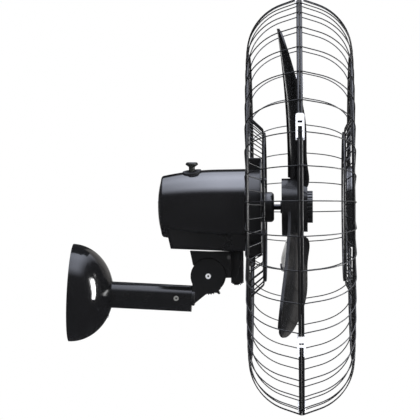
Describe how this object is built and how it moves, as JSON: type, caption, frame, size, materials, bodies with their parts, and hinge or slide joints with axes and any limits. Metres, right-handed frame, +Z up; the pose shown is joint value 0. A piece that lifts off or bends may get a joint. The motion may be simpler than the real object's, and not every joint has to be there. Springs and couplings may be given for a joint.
{
  "type": "wall mounted fan",
  "caption": "Oscillating wall fan: dome canopy, tube arm, tilting neck and panning motor head with a round wire cage and bladed rotor.",
  "frame": {"origin": "centre of the wall bracket, on the wall face", "axes": "+X away from the wall along the arm, +Z up, +Y to the right for someone in the room who faces the fan"},
  "size_m": [0.4123, 0.5994, 0.5986],
  "materials": {
    "black_paint": "gloss black stove enamel",
    "black_wire": "gloss black powder coat on steel wire",
    "black_plastic": "moulded, glossy",
    "satin_plastic": "moulded, satin",
    "white_plastic": "moulded, milky",
    "black_rubber": "moulded",
    "bright_steel": "zinc plated",
    "dark_steel": "blackened",
    "cast_aluminium": "die cast",
    "copper": "enamelled copper wire",
    "bronze": "sintered bronze",
    "grey_plastic": "moulded"
  },
  "bodies": {
    "wall_arm": {"wall_bracket": "black_paint", "terminal_block": "grey_plastic", "terminal_screws": "bright_steel", "arm_tube": "black_paint", "elbow": "black_paint", "arm_screws": "dark_steel", "tilt_bolt": "bright_steel", "tilt_washer": "bright_steel", "tilt_nut": "bright_steel"},
    "canopy": {"canopy": "black_plastic", "canopy_screw": "dark_steel"},
    "neck": {"neck": "black_paint", "neck_screws": "dark_steel", "pan_bush": "bronze", "pan_washer": "grey_plastic", "link_screw": "bright_steel"},
    "link": {"link_rod": "bright_steel"},
    "head": {"pan_pin": "bright_steel", "pan_clip": "dark_steel", "stator_core": "dark_steel", "stator_winding": "copper", "front_shield": "cast_aluminium", "rear_shield": "cast_aluminium", "motor_screws": "bright_steel", "bearing_outer_rings": "bright_steel", "bearing_balls": "bright_steel", "gearbox_case": "grey_plastic", "capacitor": "satin_plastic", "motor_cover": "black_plastic", "cover_screws": "dark_steel", "lower_cover": "satin_plastic", "knob_collar": "black_rubber", "mount_drum": "black_paint", "cage_screws": "dark_steel", "nose": "satin_plastic", "rear_cage_wires": "black_wire", "rear_cage_rings": "black_wire", "rear_disc": "black_paint", "front_cage_wires": "black_wire", "front_cage_rings": "black_wire", "front_plate": "black_paint", "front_disc": "black_plastic", "rim_clips": "white_plastic"},
    "rotor": {"shaft": "bright_steel", "rotor": "dark_steel", "bearing_inner_rings": "bright_steel", "worm": "bright_steel", "blade_set": "black_plastic", "hub_pin": "bright_steel", "spinner_nut": "satin_plastic"},
    "worm_wheel": {"worm_wheel": "grey_plastic", "clutch_shaft": "bright_steel", "pinion": "grey_plastic"},
    "crank": {"output_gear": "grey_plastic", "output_shaft": "bright_steel", "crank": "bright_steel"},
    "knob": {"knob": "satin_plastic", "knob_rod": "bright_steel"}
  },
  "joints": [
    {"name": "canopy_slide", "type": "slide", "parent": "wall_arm", "child": "canopy", "axis": [1, 0, 0], "range_m": [0, 0.06]},
    {"name": "head_tilt", "type": "hinge", "parent": "wall_arm", "child": "neck", "pos_m": [0.1972, 0, 0.0338], "axis": [0, -1, 0], "range_deg": [-30, 20]},
    {"name": "head_pan", "type": "hinge", "parent": "neck", "child": "head", "pos_m": [0.23665, 0, 0.07156], "axis": [-0.0558, 0, 0.9984], "range_deg": [-41, 41]},
    {"name": "blade_spin", "type": "hinge", "parent": "head", "child": "rotor", "pos_m": [0.32449, 0, 0.13967], "axis": [0.9984, 0, 0.0558], "continuous": true},
    {"name": "worm_wheel_spin", "type": "hinge", "parent": "head", "child": "worm_wheel", "pos_m": [0.16923, -0.014, 0.13099], "axis": [-0.0558, 0, 0.9984], "continuous": true},
    {"name": "crank_spin", "type": "hinge", "parent": "head", "child": "crank", "pos_m": [0.17135, 0.004, 0.09305], "axis": [-0.0558, 0, 0.9984], "continuous": true},
    {"name": "link_swing", "type": "hinge", "parent": "neck", "child": "link", "pos_m": [0.22843, 0.0204, 0.0711], "axis": [-0.0558, 0, 0.9984], "range_deg": [-41, 41]},
    {"name": "knob_pull", "type": "slide", "parent": "head", "child": "knob", "axis": [-0.0558, 0, 0.9984], "range_m": [0, 0.006]}
  ],
  "couplings": [
    {"joint": "worm_wheel_spin", "follows": "blade_spin", "ratio": -0.025},
    {"joint": "crank_spin", "follows": "blade_spin", "ratio": 0.00625},
    {"joint": "link_swing", "follows": "head_pan", "ratio": 1}
  ]
}
